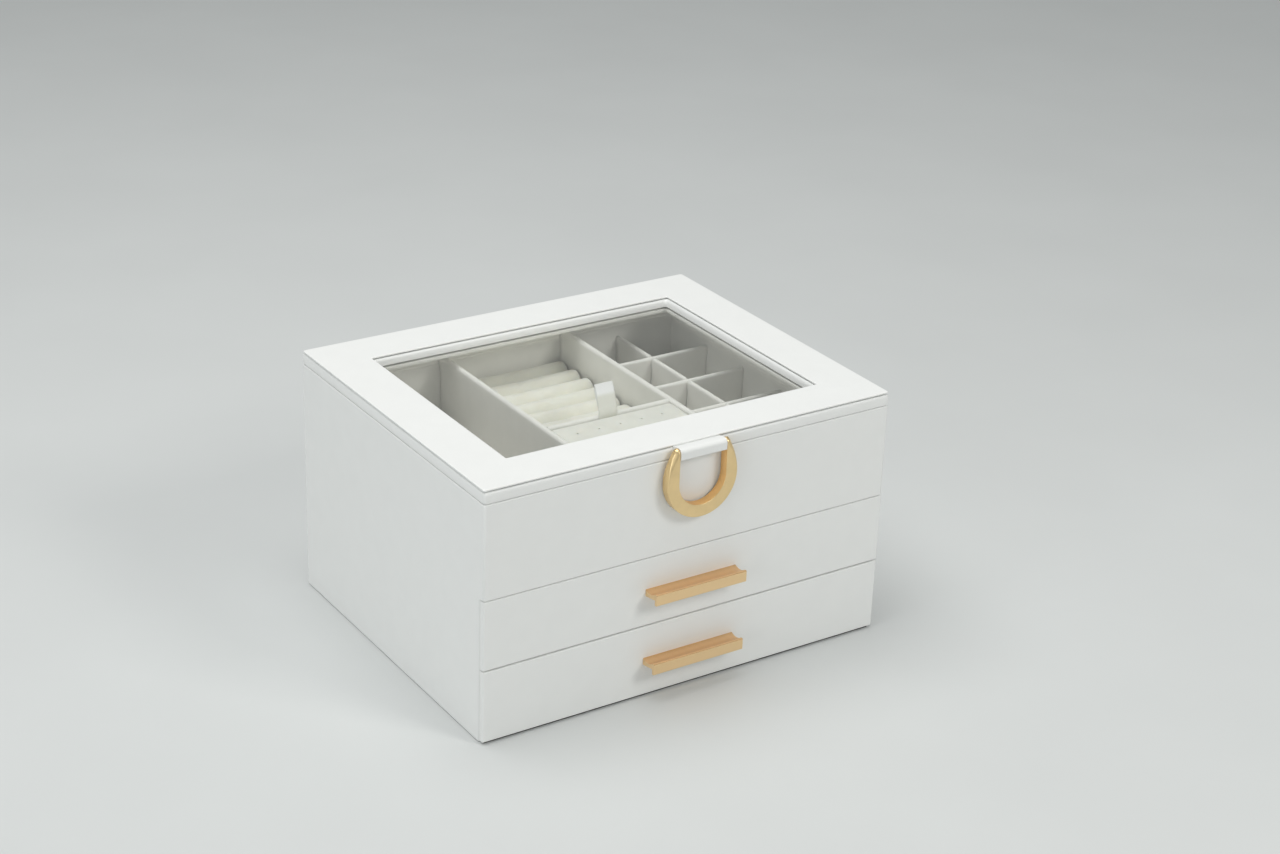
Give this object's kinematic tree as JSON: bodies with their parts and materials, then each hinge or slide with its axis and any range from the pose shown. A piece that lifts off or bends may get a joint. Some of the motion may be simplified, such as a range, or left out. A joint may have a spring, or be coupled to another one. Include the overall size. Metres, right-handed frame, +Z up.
{
  "type": "jewellery box with drawers",
  "caption": "Tiered jewellery box with a hinged glass lid, a ring handle, a lined tray with ring rolls, an earring pad and divided cells, and drawers with finger pulls.",
  "frame": {"origin": "centre of the box's footprint on the surface it stands on, under the felt", "axes": "+X to the right seen from the front, +Y from the front to the back, +Z up"},
  "size_m": [0.26, 0.2279, 0.15],
  "materials": {
    "white_leatherette": "satin",
    "fibreboard": "matte",
    "grey_suede": "matte",
    "cream_velvet": "matte",
    "white_satin": "satin",
    "felt": "matte",
    "brushed_gold": "brushed",
    "hinge_brass": "satin",
    "steel": "satin",
    "clear_glass": "polished"
  },
  "bodies": {
    "case": {"felt_base": "felt", "base_panel": "fibreboard", "left_side_panel": "fibreboard", "right_side_panel": "fibreboard", "back_panel": "fibreboard", "upper_front_panel": "fibreboard", "tray_floor": "fibreboard", "drawer_shelf": "fibreboard", "case_wrap": "white_leatherette", "tray_lining": "grey_suede", "left_divider": "grey_suede", "main_divider": "grey_suede", "ring_divider": "grey_suede", "grid_long_divider": "grey_suede", "grid_cross_divider_1": "grey_suede", "grid_cross_divider_2": "grey_suede", "grid_cross_divider_3": "grey_suede", "grid_cross_divider_4": "grey_suede", "ring_roll_1": "cream_velvet", "ring_roll_2": "cream_velvet", "ring_roll_3": "cream_velvet", "ring_roll_4": "cream_velvet", "ring_roll_5": "cream_velvet", "ring_roll_6": "cream_velvet", "ring_roll_7": "cream_velvet", "ring_roll_8": "cream_velvet", "earring_pad": "cream_velvet", "pad_ledges": "grey_suede", "ribbon_pull": "white_satin", "case_hinge_leaf_left": "hinge_brass", "case_hinge_leaf_right": "hinge_brass", "hinge_pin_left": "steel", "hinge_pin_right": "steel"},
    "lid": {"lid_cover_frame": "white_leatherette", "lid_rim_frame": "white_leatherette", "glass_pane": "clear_glass", "lid_plinth_frame": "grey_suede", "handle_tab": "white_leatherette", "lid_hinge_leaf_left": "hinge_brass", "lid_hinge_leaf_right": "hinge_brass"},
    "handle": {"horseshoe_ring": "brushed_gold", "handle_bar": "brushed_gold"},
    "upper_drawer": {"upper_drawer_front_board": "white_leatherette", "upper_drawer_side_walls": "fibreboard", "upper_drawer_end_walls": "fibreboard", "upper_drawer_bottom": "fibreboard", "upper_drawer_lining": "grey_suede", "upper_drawer_pull": "brushed_gold", "upper_drawer_divider": "grey_suede"},
    "lower_drawer": {"lower_drawer_front_board": "white_leatherette", "lower_drawer_side_walls": "fibreboard", "lower_drawer_end_walls": "fibreboard", "lower_drawer_bottom": "fibreboard", "lower_drawer_lining": "grey_suede", "lower_drawer_pull": "brushed_gold"}
  },
  "joints": [
    {"name": "lid_hinge", "type": "hinge", "parent": "case", "child": "lid", "pos_m": [0, 0.1075, 0.1418], "axis": [-1, 0, 0], "range_deg": [0, 100]},
    {"name": "handle_swing", "type": "hinge", "parent": "lid", "child": "handle", "pos_m": [0, -0.109, 0.1465], "axis": [-1, 0, 0], "range_deg": [0, 180]},
    {"name": "upper_drawer_slide", "type": "slide", "parent": "case", "child": "upper_drawer", "axis": [0, -1, 0], "range_m": [0, 0.15]},
    {"name": "lower_drawer_slide", "type": "slide", "parent": "case", "child": "lower_drawer", "axis": [0, -1, 0], "range_m": [0, 0.15]}
  ]
}
